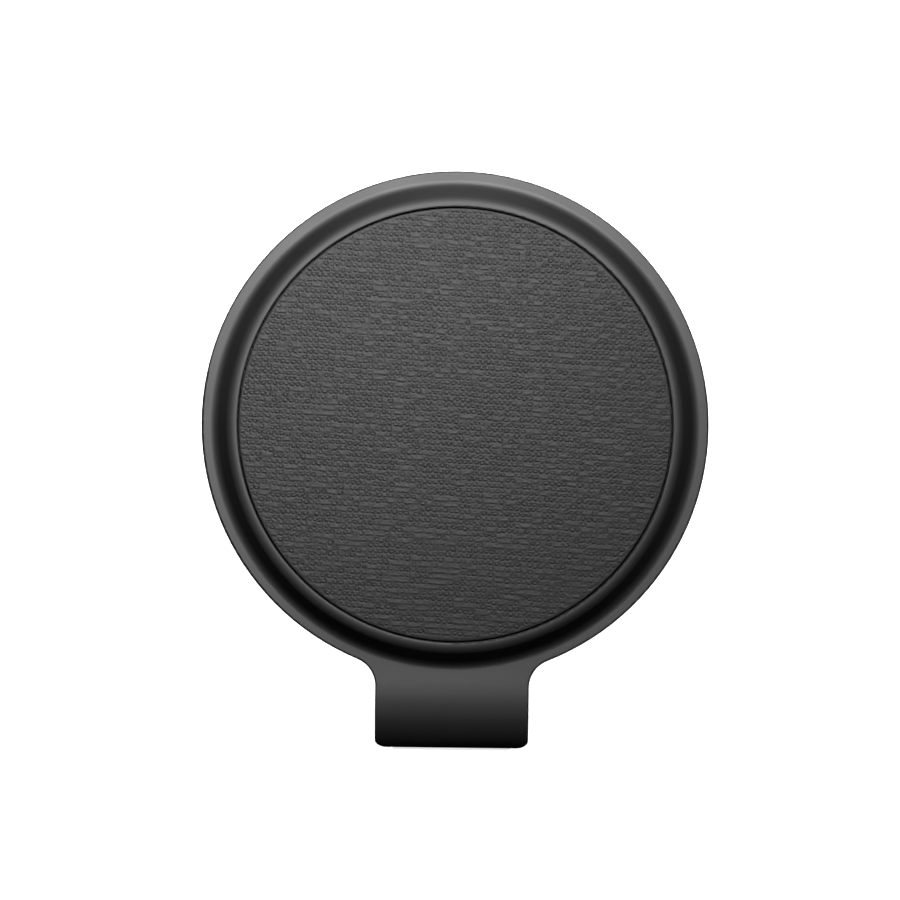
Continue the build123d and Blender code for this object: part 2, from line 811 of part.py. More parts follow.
def speaker_chamber():
    height, radius, thickness = 9.75, 14.9, 1.2
    with BuildPart() as body:
        with BuildSketch(head(SPEAKER_BACK)):
            with Locations(SPEAKER):
                Circle(radius)
        extrude(amount=height)
        fillet(body.edges().filter_by(GeomType.CIRCLE).sort_by(AXIS)[-1], 1.2)
        with BuildSketch(head(SPEAKER_BACK)):
            with Locations(SPEAKER):
                Circle(radius - thickness)
        extrude(amount=height - thickness, mode=Mode.SUBTRACT)
    return body.part


def speaker_magnet():
    with BuildPart() as body:
        with BuildSketch(SPEAKER_PROFILE):
            Polygon(
                (0, MAGNET_BACK),
                (MAGNET_R, MAGNET_BACK),
                (MAGNET_R, MAGNET_FRONT),
                (0, MAGNET_FRONT),
                align=None,
            )
        revolve(axis=SPEAKER_AXIS)
        fillet(body.edges().filter_by(GeomType.CIRCLE).sort_by(AXIS)[-1], 0.4)
    return body.part


def speaker_surround():
    """Half-roll ring between the cone and the frame."""
    base_z = -19.0
    with BuildPart() as body:
        with BuildSketch(SPEAKER_PROFILE):
            with BuildLine():
                ThreePointArc((9.85, base_z), (11.05, -19.7), (12.25, base_z))
                Line((12.25, base_z), (12.0, base_z))
                ThreePointArc((12.0, base_z), (11.05, -19.45), (10.1, base_z))
                Line((10.1, base_z), (9.85, base_z))
            make_face()
        revolve(axis=SPEAKER_AXIS)
    return body.part


# ---------------------------------------------------------------- rear shell
GRILLE_HOLE_R = 0.8
GRILLE_RINGS = [(2.6, 6, 0), (5.2, 12, 0), (7.8, 18, 0), (10.4, 24, 7.5)]  # radius, count, start
VENT_GROUPS = [(90, 4), (232, 2), (308, 2)]  # middle angle, vents on each side of it
VENT_PITCH = 6.5
CUT_WALL = 1 + SHELL_WALL  # from CUT_START to the inside of the back wall


def shell_form(inset):
    """The shell's solid outer form, or its hollow when inset by the wall."""
    back = SHELL_BACK + inset
    corner_r = SHELL_R_BACK - SHELL_EDGE
    with BuildPart() as body:
        with BuildSketch(PROFILE):
            with BuildLine():
                Line((0, back), (corner_r, back))
                corner = CenterArc(
                    (corner_r, SHELL_BACK + SHELL_EDGE), SHELL_EDGE - inset, 270, 90
                )
                Line(corner @ 1, (SHELL_R - inset, -BRIM_T))
                Line((SHELL_R - inset, -BRIM_T), (0, -BRIM_T))
                Line((0, -BRIM_T), (0, back))
            make_face()
        revolve(axis=AXIS)
    return body.part


def rear_shell():
    outer = shell_form(0)
    hollow = shell_form(SHELL_WALL)
    with BuildPart() as body:
        add(outer)
        add(hollow, mode=Mode.SUBTRACT)
        # walls inside: leg channel, hinge pocket
        for y, w, h, height in ((-24.0, 31.6, 40.0, 6.0), (-0.9, 36.6, 17.4, 10.5)):
            with BuildSketch(head(RIB_START)):
                with Locations((0, y)):
                    Rectangle(w, h)
            extrude(amount=height)
        # keyhole pockets, screw tubes, speaker ring
        with BuildSketch(head(RIB_START)):
            for x, y in KEYHOLES:
                with Locations((x, y + 3.0)):
                    RectangleRounded(14.0, 18.4, 2.0)
        extrude(amount=6.6)
        with BuildSketch(head(RIB_START)):
            with Locations(*SHELL_SCREWS):
                Circle(3.2)
        extrude(amount=-5.2 - RIB_START)
        with BuildSketch(head(RIB_START)):
            with Locations(SPEAKER):
                Circle(15.9)
                Circle(15.0, mode=Mode.SUBTRACT)
        extrude(amount=4.4)
        # leg channel and hinge pocket
        with BuildSketch(head(CUT_START)):
            with Locations((0, -26.0)):
                Rectangle(28.0, 48.0)
        extrude(amount=CHANNEL_FLOOR - CUT_START, mode=Mode.SUBTRACT)
        with BuildSketch(head(CUT_START)):
            with Locations((0, -0.9)):
                Rectangle(33.4, 14.2)
        extrude(amount=10.0, mode=Mode.SUBTRACT)
        # keyholes: entry hole, slot upwards, pocket inside for the screw head
        slot_r, rise = 2.1, 8.0
        with BuildSketch(head(CUT_START)):
            for x, y in KEYHOLES:
                with Locations((x, y)):
                    Circle(4.25)
                with Locations((x, y + rise / 2)):
                    Rectangle(2 * slot_r, rise)
                with Locations((x, y + rise)):
                    Circle(slot_r)
        extrude(amount=CUT_WALL + 0.2, mode=Mode.SUBTRACT)
        with BuildSketch(head(SHELL_FLOOR)):
            for x, y in KEYHOLES:
                with Locations((x, y + 3.6)):
                    SlotOverall(16.4, 9.4, rotation=90)
        extrude(amount=3.6, mode=Mode.SUBTRACT)
        # screw holes, counterbored from the back
        for radius, depth in ((2.8, 1 + 3.0), (1.4, 20)):
            with BuildSketch(head(CUT_START)):
                with Locations(*SHELL_SCREWS):
                    Circle(radius)
            extrude(amount=depth, mode=Mode.SUBTRACT)
        # network port
        with BuildSketch(head(CUT_START)):
            with Locations(JACK):
                Rectangle(JACK_W + 0.3, JACK_H + 0.3)
        extrude(amount=CUT_WALL + 0.2, mode=Mode.SUBTRACT)
        # power port: walled recess for the plug, then the socket's slot
        with BuildSketch(head(RIB_START)):
            with Locations(USB):
                SlotOverall(16.4, 10.4)
        extrude(amount=6.0)
        with BuildSketch(head(CUT_START)):
            with Locations(USB):
                SlotOverall(13.4, 7.4)
        extrude(amount=1 + 4.4, mode=Mode.SUBTRACT)
        with BuildSketch(head(SHELL_BACK)):
            with Locations(USB):
                SlotOverall(9.2, 3.46)
        extrude(amount=8, mode=Mode.SUBTRACT)
        # reset button's hole
        with BuildSketch(head(CUT_START)):
            with Locations(RESET):
                Circle(2.35)
        extrude(amount=4, mode=Mode.SUBTRACT)
        # speaker grille: rings of round holes
        with BuildSketch(head(CUT_START)):
            with Locations(SPEAKER):
                Circle(GRILLE_HOLE_R)
                for radius, count, start in GRILLE_RINGS:
                    with PolarLocations(radius, count, start_angle=start):
                        Circle(GRILLE_HOLE_R)
        extrude(amount=CUT_WALL + 0.01, mode=Mode.SUBTRACT)
        # vents through the side wall, high and low
        for middle, reach in VENT_GROUPS:
            for k in range(-reach, reach + 1):
                angle = radians(middle + k * VENT_PITCH)
                vent = Plane(
                    origin=point(38 * cos(angle), 38 * sin(angle), -10.0),
                    x_dir=OUT,
                    z_dir=RIGHT * cos(angle) + UP * sin(angle),
                )
                with BuildSketch(vent):
                    SlotOverall(7.5, 1.5)
                extrude(amount=10, mode=Mode.SUBTRACT)
        # seat for the label on the channel's floor, and pilot holes for the hinge bracket
        with BuildSketch(head(CHANNEL_FLOOR)):
            with Locations(LABEL):
                RectangleRounded(20.4, 26.4, 1.2)
        extrude(amount=0.15, mode=Mode.SUBTRACT)
        with BuildSketch(head(HINGE_SEAT + HINGE_PLATE_T)):
            with Locations(*HINGE_SCREWS):
                Circle(0.9)
        extrude(amount=1.7, mode=Mode.SUBTRACT)
        # nothing inside reaches past the outer form
        add(outer, mode=Mode.INTERSECT)
    return body.part


# ---------------------------------------------------------------- leg hinge
PIN_HALF = 15.65  # half the pin's length between its heads
PIN_HEAD_T = 0.65


def hinge_bracket():
    """Plate with an ear at each end for the pin."""
    with BuildPart() as body:
        with BuildSketch(head(HINGE_SEAT)):
            with Locations((0, -1.4)):
                Rectangle(31.2, 12.0)
        extrude(amount=HINGE_PLATE_T)
        with BuildSketch(SIDE.offset(14.4)):
            with Locations(PIVOT):
                Circle(EAR_R)
            with Locations((PIVOT_Y, (PIVOT_Z + HINGE_SEAT) / 2)):
                Rectangle(2 * EAR_R, HINGE_SEAT - PIVOT_Z)
        extrude(amount=1.2)
        mirror(about=Plane.YZ)
        with BuildSketch(SIDE.offset(-20)):
            with Locations(PIVOT):
                Circle(PIN_R)
        extrude(amount=40, mode=Mode.SUBTRACT)
        with BuildSketch(head(HINGE_SEAT)):
            with Locations(*HINGE_SCREWS):
                Circle(1.1)
        extrude(amount=2, mode=Mode.SUBTRACT)
    return body.part


def hinge_pin():
    with BuildPart() as body:
        # start x, radius, length
        for x, radius, length in (
            (-PIN_HALF, PIN_R, 2 * PIN_HALF),
            (-PIN_HALF - PIN_HEAD_T, 2.2, PIN_HEAD_T),
            (PIN_HALF, 2.2, PIN_HEAD_T),
        ):
            with BuildSketch(SIDE.offset(x)):
                with Locations(PIVOT):
                    Circle(radius)
            extrude(amount=length)
    return body.part


def friction_washers():
    with BuildPart() as body:
        for x in (13.1, 13.75, -13.65, -14.3):
            with BuildSketch(SIDE.offset(x)):
                with Locations(PIVOT):
                    Circle(EAR_R)
                    Circle(PIN_R + 0.05, mode=Mode.SUBTRACT)
            extrude(amount=0.55)
    return body.part


# ---------------------------------------------------------------- stand leg, at its standing angle
# outlines on the leg's face, (x, along)
LEG_OUTLINE = [
    (-LEG_W / 2, 3.0), (LEG_W / 2, 3.0), (LEG_W / 2, 30),
    (12.2, 72), (-12.2, 72), (-LEG_W / 2, 30),
]
PAD_OUTLINE = [(-12.2, 52.0), (12.2, 52.0), (11.9, 72), (-11.9, 72)]
CABLE_HOLE_R = 6.0


def stand_leg():
    with BuildPart() as body:
        with BuildSketch(LEG_FACE.offset(LEG_INNER)):
            with BuildLine():
                Polyline(*LEG_OUTLINE, close=True)
            make_face()
        extrude(amount=LEG_T)
        long_edges = body.edges().filter_by(
            lambda e: abs((e % 0.5).X) < 0.1 and abs((e % 0.5).dot(LEG_ALONG)) > 0.9
        )
        fillet(long_edges, 0.9)
        # hinge barrel, joined to the blade
        with BuildSketch(LEG_SIDE.offset(-LEG_W / 2)):
            Circle(BARREL_R)
            with Locations((3.0, BARREL_R - LEG_T / 2)):
                Rectangle(6.0, LEG_T)
        extrude(amount=LEG_W)
        # cable hole
        with BuildSketch(LEG_FACE):
            with Locations((0, 43.0)):
                Circle(CABLE_HOLE_R)
        extrude(amount=10, mode=Mode.SUBTRACT)
        # pocket in the inner face, to save weight
        with BuildSketch(LEG_FACE.offset(LEG_INNER)):
            with Locations((0, 21.0)):
                RectangleRounded(18.0, 22.0, 3.0)
        extrude(amount=1.2, mode=Mode.SUBTRACT)
        # pin bore
        with BuildSketch(LEG_SIDE.offset(-20)):
            Circle(PIN_R + 0.05)
        extrude(amount=40, mode=Mode.SUBTRACT)
        # cut off above the table, where the foot pad goes
        with BuildSketch(Plane.XY.offset(PAD_TOP)):
            Rectangle(200, 400)
        extrude(amount=-60, mode=Mode.SUBTRACT)
        circles = body.edges().filter_by(GeomType.CIRCLE)
        fillet(circles.filter_by(lambda e: abs(e.radius - CABLE_HOLE_R) < 0.01), 0.6)
    return body.part


def leg_foot_pad():
    """The last of the leg, slightly thinner, between PAD_TOP and the table."""
    inset = 0.15
    with BuildPart() as body:
        with BuildSketch(LEG_FACE.offset(LEG_INNER + inset)):
            with BuildLine():
                Polyline(*PAD_OUTLINE, close=True)
            make_face()
        extrude(amount=LEG_T - 2 * inset)
        fillet(body.edges().filter_by(lambda e: abs((e % 0.5).dot(LEG_ALONG)) > 0.9), 0.9)
        for z, reach in ((PAD_TOP, 60), (0, -60)):
            with BuildSketch(Plane.XY.offset(z)):
                Rectangle(200, 400)
            extrude(amount=reach, mode=Mode.SUBTRACT)
    return body.part


# ---------------------------------------------------------------- build and save
bezel_part = front_bezel()
save(bezel_part, "front_bezel")
save(toe_pad(bezel_part), "toe_pad")

for piece in (
    face_skin, face_carrier, halo_leds, light_guide, mid_frame, main_board, face_switch,
    face_switch_stem, processor_shield, board_chips, capacitors, power_inductor, network_socket,
    network_contacts, usb_power_socket, usb_tongue, reset_switch, reset_button, halo_ribbon,
    speaker_chamber, speaker_magnet, speaker_surround, rear_shell, hinge_bracket, hinge_pin,
    friction_washers, stand_leg, leg_foot_pad,
):
    save(piece(), piece.__name__)

# discs and rings: z, height, radius
save(discs(CARRIER_TOP, ADHESIVE_T, 42.0, hole=4.0), "face_adhesive")
save(discs(SHELF_Z, HALO_T, 42.6, hole=37.4), "halo_board")
save(discs(RESET_STEM_BACK, 3.2, 1.7, places=[RESET]), "reset_switch_stem")
save(discs(BOARD_BOTTOM, -1.0, 1.3, places=[(-29.0, 0.6), (29.0, 0.6)]), "coax_plugs")
save(discs(SPEAKER_BACK, 0.75, 13.6, hole=12.4, places=[SPEAKER]), "speaker_gasket")
save(discs(SHELL_FLOOR + 0.02, 0.2, 12.3, places=[SPEAKER]), "grille_cloth")

# blocks: z, height, boxes
save(blocks(BOARD_TOP, 1.0, [(-4.0, 20.0, 12, 12), (7.5, 20.0, 8, 11)]), "processor_and_memory")
pad_back = BOARD_TOP + SHIELD_H
save(blocks(pad_back, THERMAL_PAD_T, [(0, 20.0, 22, 14)]), "thermal_pad")
save(blocks(pad_back + THERMAL_PAD_T, 0.4, [(0, 20.5, 33, 24)], corner=2), "heat_spreader")
plugs = [(10.5, -14.6, 5.0, 3.6), (-3.0, -36.0, 8.0, 2.6)]
save(blocks(BOARD_BOTTOM, -1.7, plugs), "board_plugs")
save(blocks(BOARD_TOP, 1.0, [(0, -32.1, 8.0, 2.6)]), "ribbon_socket")
save(blocks(CHANNEL_FLOOR, 0.15, [(*LABEL, 20, 26)], corner=1.0), "blank_label")

# screws: places, back of the head, head radius and height, shank radius and length,
# socket radius and depth
save(screws(MID_SCREWS, MID_BOTTOM + 0.05, 1.8, 0.75, 0.9, 2.1, 0.7, 0.5), "mid_frame_screws")
save(screws(BOARD_SCREWS, BOARD_BOTTOM - 1.3, 1.9, 1.3, 0.9, 4.4, 0.9, 0.8), "board_screws")
save(screws(SHELL_SCREWS, -20.9, 2.4, 1.9, 1.25, 17.3, 1.3, 1.2), "shell_screws")
save(screws(HINGE_SCREWS, HINGE_SEAT - 1.0, 1.7, 1.0, 0.9, 2.6, 0.8, 0.6), "hinge_screws")

save(radio_module(-21.0, -13.0, 18, 13, can_height=1.3), "wifi_module")
save(radio_module(20.0, -13.0, 15, 12, can_height=1.2), "mesh_radio_module")
save(antenna(158), "wifi_antenna")
save(antenna(22), "mesh_radio_antenna")
save(cable(WIFI_CABLE, 0.45), "wifi_antenna_cable")
save(cable(MESH_CABLE, 0.45), "mesh_antenna_cable")
save(cable(SPEAKER_CABLE, 0.5), "speaker_cable")
save(speaker_turning(SPEAKER_FRAME), "speaker_frame")
save(speaker_turning(SPEAKER_CONE), "speaker_cone")
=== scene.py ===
import json
import math

import bmesh
import bpy
import numpy as np
from mathutils import Matrix, Vector

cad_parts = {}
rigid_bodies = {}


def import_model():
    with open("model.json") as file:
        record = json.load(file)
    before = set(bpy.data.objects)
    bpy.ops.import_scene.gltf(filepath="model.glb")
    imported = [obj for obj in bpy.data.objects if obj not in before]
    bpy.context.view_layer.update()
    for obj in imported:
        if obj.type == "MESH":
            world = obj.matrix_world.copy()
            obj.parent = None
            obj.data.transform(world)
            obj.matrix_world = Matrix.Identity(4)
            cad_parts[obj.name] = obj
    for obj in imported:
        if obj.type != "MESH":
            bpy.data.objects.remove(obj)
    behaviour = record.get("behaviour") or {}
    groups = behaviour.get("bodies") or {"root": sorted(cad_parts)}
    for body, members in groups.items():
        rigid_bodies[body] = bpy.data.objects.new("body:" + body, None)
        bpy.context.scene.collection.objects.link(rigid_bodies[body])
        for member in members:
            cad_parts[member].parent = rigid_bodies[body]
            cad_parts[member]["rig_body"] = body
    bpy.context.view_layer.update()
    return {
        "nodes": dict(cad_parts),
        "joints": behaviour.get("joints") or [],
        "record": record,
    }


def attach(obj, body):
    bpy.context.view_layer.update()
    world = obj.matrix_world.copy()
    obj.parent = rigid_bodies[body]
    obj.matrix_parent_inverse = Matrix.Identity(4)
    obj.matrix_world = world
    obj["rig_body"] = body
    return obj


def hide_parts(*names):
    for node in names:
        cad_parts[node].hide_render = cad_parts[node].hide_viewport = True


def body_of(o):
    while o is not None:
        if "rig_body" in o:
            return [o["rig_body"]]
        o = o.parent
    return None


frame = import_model()
NODES = frame["nodes"]

# ------------------------------------------------------------------ the head's own frame, from the hinge
MM = 0.001
TILT = math.radians(15.0)
X = Vector((1, 0, 0))
UP = Vector((0, math.sin(TILT), math.cos(TILT)))
OUT = Vector((0, -math.cos(TILT), math.sin(TILT)))
hinge = [j for j in frame["joints"] if j["name"] == "leg_fold"][0]
O = Vector(hinge["pos_m"]) - UP * (2.0 * MM) + OUT * (18.3 * MM)


def hp(x, y, z):
    """Head-frame millimetres to row-frame metres."""
    return O + X * (x * MM) + UP * (y * MM) + OUT * (z * MM)


HEAD = np.array([[*X], [*UP], [*OUT]])


def to_row(local_mm):
    return np.array([*O]) + (np.asarray(local_mm) * MM) @ HEAD


# ------------------------------------------------------------------ seeded value noise
def lattice(seed, n=512):
    return np.random.default_rng(seed).random((n, n))


def vnoise(a, b, grid):
    n = grid.shape[0]
    ia, ib = np.floor(a).astype(int), np.floor(b).astype(int)
    fa, fb = a - ia, b - ib
    fa, fb = fa * fa * (3 - 2 * fa), fb * fb * (3 - 2 * fb)
    g = lambda p, q: grid[p % n, q % n]
    top = g(ia, ib) * (1 - fa) + g(ia + 1, ib) * fa
    bot = g(ia, ib + 1) * (1 - fa) + g(ia + 1, ib + 1) * fa
    return top * (1 - fb) + bot * fb


def smooth(lo, hi, x):
    t = np.clip((x - lo) / (hi - lo), 0, 1)
    return t * t * (3 - 2 * t)


def mesh_piece(name, verts, faces, mat, sharp=None):
    me = bpy.data.meshes.new(name)
    me.from_pydata([tuple(v) for v in verts], [], faces)
    me.validate()
    me.update()
    me.materials.append(mat)
    me.shade_smooth()
    if sharp is not None:
        me.set_sharp_from_angle(angle=math.radians(sharp))
    ob = bpy.data.objects.new(name, me)
    bpy.context.scene.collection.objects.link(ob)
    return ob


# ------------------------------------------------------------------ materials
def new_mat(name):
    m = bpy.data.materials.new(name)
    m.use_nodes = True
    nt = m.node_tree
    nt.nodes.clear()
    out = nt.nodes.new("ShaderNodeOutputMaterial")
    bsdf = nt.nodes.new("ShaderNodeBsdfPrincipled")
    nt.links.new(bsdf.outputs["BSDF"], out.inputs["Surface"])
    return m, nt, bsdf


def coords(nt, scale=(1, 1, 1), rot=(0, 0, 0)):
    tc = nt.nodes.new("ShaderNodeTexCoord")
    mp = nt.nodes.new("ShaderNodeMapping")
    mp.inputs["Scale"].default_value = scale
    mp.inputs["Rotation"].default_value = rot
    nt.links.new(tc.outputs["Object"], mp.inputs["Vector"])
    return mp.outputs["Vector"]


def noise(nt, vec, scale, detail=3.0, rough=0.55):
    n = nt.nodes.new("ShaderNodeTexNoise")
    n.inputs["Scale"].default_value = scale
    n.inputs["Detail"].default_value = detail
    n.inputs["Roughness"].default_value = rough
    nt.links.new(vec, n.inputs["Vector"])
    return n.outputs["Fac"]


def voronoi(nt, vec, scale, feature="F1"):
    n = nt.nodes.new("ShaderNodeTexVoronoi")
    n.feature = feature
    n.inputs["Scale"].default_value = scale
    nt.links.new(vec, n.inputs["Vector"])
    return n.outputs["Distance"]


def maprange(nt, value, a, b, c, d):
    n = nt.nodes.new("ShaderNodeMapRange")
    n.inputs["From Min"].default_value = a
    n.inputs["From Max"].default_value = b
    n.inputs["To Min"].default_value = c
    n.inputs["To Max"].default_value = d
    nt.links.new(value, n.inputs["Value"])
    return n.outputs["Result"]


def math_node(nt, op, a, b):
    n = nt.nodes.new("ShaderNodeMath")
    n.operation = op
    for k, v in enumerate((a, b)):
        if isinstance(v, (int, float)):
            n.inputs[k].default_value = v
        else:
            nt.links.new(v, n.inputs[k])
    return n.outputs["Value"]


def mixcol(nt, fac, c1, c2):
    n = nt.nodes.new("ShaderNodeMix")
    n.data_type = "RGBA"
    n.inputs["A"].default_value = (*c1, 1)
    n.inputs["B"].default_value = (*c2, 1)
    if isinstance(fac, (int, float)):
        n.inputs["Factor"].default_value = fac
    else:
        nt.links.new(fac, n.inputs["Factor"])
    return n.outputs["Result"]


def bump(nt, bsdf, height, strength, distance, after=None):
    b = nt.nodes.new("ShaderNodeBump")
    b.inputs["Strength"].default_value = strength
    b.inputs["Distance"].default_value = distance
    nt.links.new(height, b.inputs["Height"])
    if after is not None:
        nt.links.new(after, b.inputs["Normal"])
    nt.links.new(b.outputs["Normal"], bsdf.inputs["Normal"])
    return b.outputs["Normal"]


def tone(c, k):
    return tuple(min(1.0, v * k) for v in c)


def plastic(name, col, rough, grain_mm=0.12, grain=0.25, depth=0.00002, spec=0.5, vary=0.18, sheen=0.0, coat=0.0):
    """Moulded plastic: slight tone drift, fine spark-eroded grain, uneven polish."""
    m, nt, bsdf = new_mat(name)
    v = coords(nt)
    big = noise(nt, v, 55.0, 4.0)
    fine = noise(nt, v, 1.0 / (grain_mm * MM), 2.0, 0.6)
    pits = voronoi(nt, v, 0.55 / (grain_mm * MM))
    nt.links.new(mixcol(nt, maprange(nt, big, 0.3, 0.7, 0, 1), tone(col, 1 - vary), tone(col, 1 + vary)), bsdf.inputs["Base Color"])
    r = math_node(nt, "ADD", maprange(nt, big, 0.25, 0.75, rough - 0.03, rough + 0.03), maprange(nt, fine, 0.3, 0.7, -0.02, 0.02))
    nt.links.new(r, bsdf.inputs["Roughness"])
    bsdf.inputs["Specular IOR Level"].default_value = spec
    bsdf.inputs["Sheen Weight"].default_value = sheen
    bsdf.inputs["Sheen Roughness"].default_value = 0.4
    bsdf.inputs["Coat Weight"].default_value = coat
    bsdf.inputs["Coat Roughness"].default_value = 0.25
    h = math_node(nt, "ADD", math_node(nt, "MULTIPLY", fine, 0.6), math_node(nt, "MULTIPLY", pits, 0.5))
    bump(nt, bsdf, h, grain, depth)
    return m


def metal(name, col, rough, brushed=(1, 1, 1), grain=0.15, vary=0.08):
    """Plated or brushed metal with fine directional scratches and a few dull spots."""
    m, nt, bsdf = new_mat(name)
    v = coords(nt, brushed)
    streak = noise(nt, v, 2600.0, 3.0, 0.7)
    spots = noise(nt, coords(nt), 420.0, 3.0)
    bsdf.inputs["Metallic"].default_value = 1.0
    nt.links.new(mixcol(nt, maprange(nt, spots, 0.35, 0.7, 0, 1), tone(col, 1 - vary), tone(col, 1 + vary)), bsdf.inputs["Base Color"])
    r = math_node(nt, "ADD", maprange(nt, streak, 0.3, 0.7, rough - 0.08, rough + 0.08), maprange(nt, spots, 0.4, 0.7, 0.0, 0.06))
    nt.links.new(r, bsdf.inputs["Roughness"])
    bump(nt, bsdf, streak, grain, 0.00001)
    return m


MATS = {}
MATS["bezel_plastic"] = plastic("bezel_plastic", (0.0052, 0.0052, 0.0053), 0.58, 0.10, 0.08, 0.00001, spec=0.58, vary=0.08)


def duller_bead(m, extra):
    """The crown's bead is a little rougher than the flats of the same moulding."""
    nt = m.node_tree
    bsdf = next(n for n in nt.nodes if n.type == "BSDF_PRINCIPLED")
    base = bsdf.inputs["Roughness"].links[0].from_socket
    tc = nt.nodes.new("ShaderNodeTexCoord")
    sub, dot = nt.nodes.new("ShaderNodeVectorMath"), nt.nodes.new("ShaderNodeVectorMath")
    sub.operation, dot.operation = "SUBTRACT", "DOT_PRODUCT"
    nt.links.new(tc.outputs["Object"], sub.inputs[0])
    sub.inputs[1].default_value = tuple(O)
    nt.links.new(sub.outputs["Vector"], dot.inputs[0])
    dot.inputs[1].default_value = tuple(OUT)
    up = maprange(nt, dot.outputs["Value"], 0.0036, 0.0046, 0.0, extra)
    nt.links.new(math_node(nt, "ADD", base, up), bsdf.inputs["Roughness"])


def glossier_tab(m, extra):
    """The tab takes the hand when the hub is set down, and shines slightly more than the rest of the moulding."""
    nt = m.node_tree
    bsdf = next(n for n in nt.nodes if n.type == "BSDF_PRINCIPLED")
    spec = bsdf.inputs["Specular IOR Level"].default_value
    tc = nt.nodes.new("ShaderNodeTexCoord")
    sub, dot = nt.nodes.new("ShaderNodeVectorMath"), nt.nodes.new("ShaderNodeVectorMath")
    sub.operation, dot.operation = "SUBTRACT", "DOT_PRODUCT"
    nt.links.new(tc.outputs["Object"], sub.inputs[0])
    sub.inputs[1].default_value = tuple(O)
    nt.links.new(sub.outputs["Vector"], dot.inputs[0])
    dot.inputs[1].default_value = tuple(UP)
    nt.links.new(maprange(nt, dot.outputs["Value"], -0.046, -0.053, spec, spec + extra), bsdf.inputs["Specular IOR Level"])


duller_bead(MATS["bezel_plastic"], 0.065)
glossier_tab(MATS["bezel_plastic"], 0.09)
MATS["shell_plastic"] = plastic("shell_plastic", (0.016, 0.016, 0.0165), 0.55, 0.20, 0.45, 0.00003)
MATS["leg_plastic"] = plastic("leg_plastic", (0.017, 0.017, 0.0175), 0.52, 0.18, 0.40, 0.00003)
MATS["button_plastic"] = plastic("button_plastic", (0.03, 0.03, 0.031), 0.42, 0.12, 0.2, 0.00002)
MATS["carrier_plastic"] = plastic("carrier_plastic", (0.03, 0.03, 0.03), 0.5, 0.25, 0.3)
MATS["frame_plastic"] = plastic("frame_plastic", (0.045, 0.045, 0.047), 0.55, 0.3, 0.4)
MATS["chamber_plastic"] = plastic("chamber_plastic", (0.02, 0.02, 0.02), 0.5, 0.25, 0.3)
MATS["connector_plastic"] = plastic("connector_plastic", (0.012, 0.012, 0.012), 0.38, 0.15, 0.25)
MATS["chip_epoxy"] = plastic("chip_epoxy", (0.012, 0.012, 0.013), 0.62, 0.08, 0.5)
MATS["washer_polymer"] = plastic("washer_polymer", (0.42, 0.41, 0.37), 0.5, 0.2, 0.15, vary=0.04)
MATS["led_white"] = plastic("led_white", (0.82, 0.76, 0.42), 0.4, 0.1, 0.3, vary=0.06)
MATS["cone_paper"] = plastic("cone_paper", (0.035, 0.033, 0.03), 0.8, 0.35, 0.8, 0.00005, vary=0.25)
MATS["adhesive"] = plastic("adhesive", (0.5, 0.49, 0.44), 0.6, 0.3, 0.3)
MATS["thermal_silicone"] = plastic("thermal_silicone", (0.30, 0.36, 0.46), 0.75, 0.2, 0.5)
MATS["label_film"] = plastic("label_film", (0.10, 0.10, 0.10), 0.42, 0.12, 0.15, vary=0.05)
MATS["ferrite"] = plastic("ferrite", (0.035, 0.035, 0.04), 0.6, 0.12, 0.6, 0.00004, vary=0.3)
MATS["gasket_foam"] = plastic("gasket_foam", (0.012, 0.012, 0.012), 0.9, 0.25, 1.0, 0.00008)
MATS["coax_jacket"] = plastic("coax_jacket", (0.02, 0.02, 0.02), 0.45, 0.2, 0.2, coat=0.2)

MATS["screw_steel"] = metal("screw_steel", (0.11, 0.11, 0.115), 0.38)
MATS["shield_tin"] = metal("shield_tin", (0.66, 0.66, 0.65), 0.32, (6, 1, 1))
MATS["switch_steel"] = metal("switch_steel", (0.6, 0.6, 0.6), 0.30, (6, 1, 1))
MATS["socket_steel"] = metal("socket_steel", (0.62, 0.61, 0.59), 0.28, (1, 1, 5))
MATS["bracket_steel"] = metal("bracket_steel", (0.52, 0.52, 0.51), 0.34, (0.3, 3, 3))
MATS["pin_steel"] = metal("pin_steel", (0.55, 0.55, 0.55), 0.25, (4, 1, 1))
MATS["spreader_aluminium"] = metal("spreader_aluminium", (0.8, 0.8, 0.81), 0.36, (0.2, 4, 4))
MATS["capacitor_can"] = metal("capacitor_can", (0.72, 0.72, 0.73), 0.3)
MATS["gold_contact"] = metal("gold_contact", (0.83, 0.6, 0.25), 0.25)
MATS["antenna_film"] = metal("antenna_film", (0.72, 0.42, 0.28), 0.35)


def rubber(name, col):
    m, nt, bsdf = new_mat(name)
    v = coords(nt)
    big, fine = noise(nt, v, 90.0, 4.0), noise(nt, v, 5200.0, 3.0, 0.65)
    dust = maprange(nt, noise(nt, v, 900.0, 5.0, 0.7), 0.62, 0.78, 0, 0.35)
    n = nt.nodes.new("ShaderNodeMix")
    n.data_type = "RGBA"
    nt.links.new(dust, n.inputs["Factor"])
    nt.links.new(mixcol(nt, big, tone(col, 0.8), tone(col, 1.2)), n.inputs["A"])
    n.inputs["B"].default_value = (*tone(col, 2.4), 1)
    nt.links.new(n.outputs["Result"], bsdf.inputs["Base Color"])
    nt.links.new(maprange(nt, fine, 0.3, 0.7, 0.68, 0.82), bsdf.inputs["Roughness"])
    bsdf.inputs["Sheen Weight"].default_value = 0.15
    bump(nt, bsdf, fine, 0.45, 0.00003)
    return m


MATS["foot_rubber"] = rubber("foot_rubber", (0.014, 0.014, 0.014))


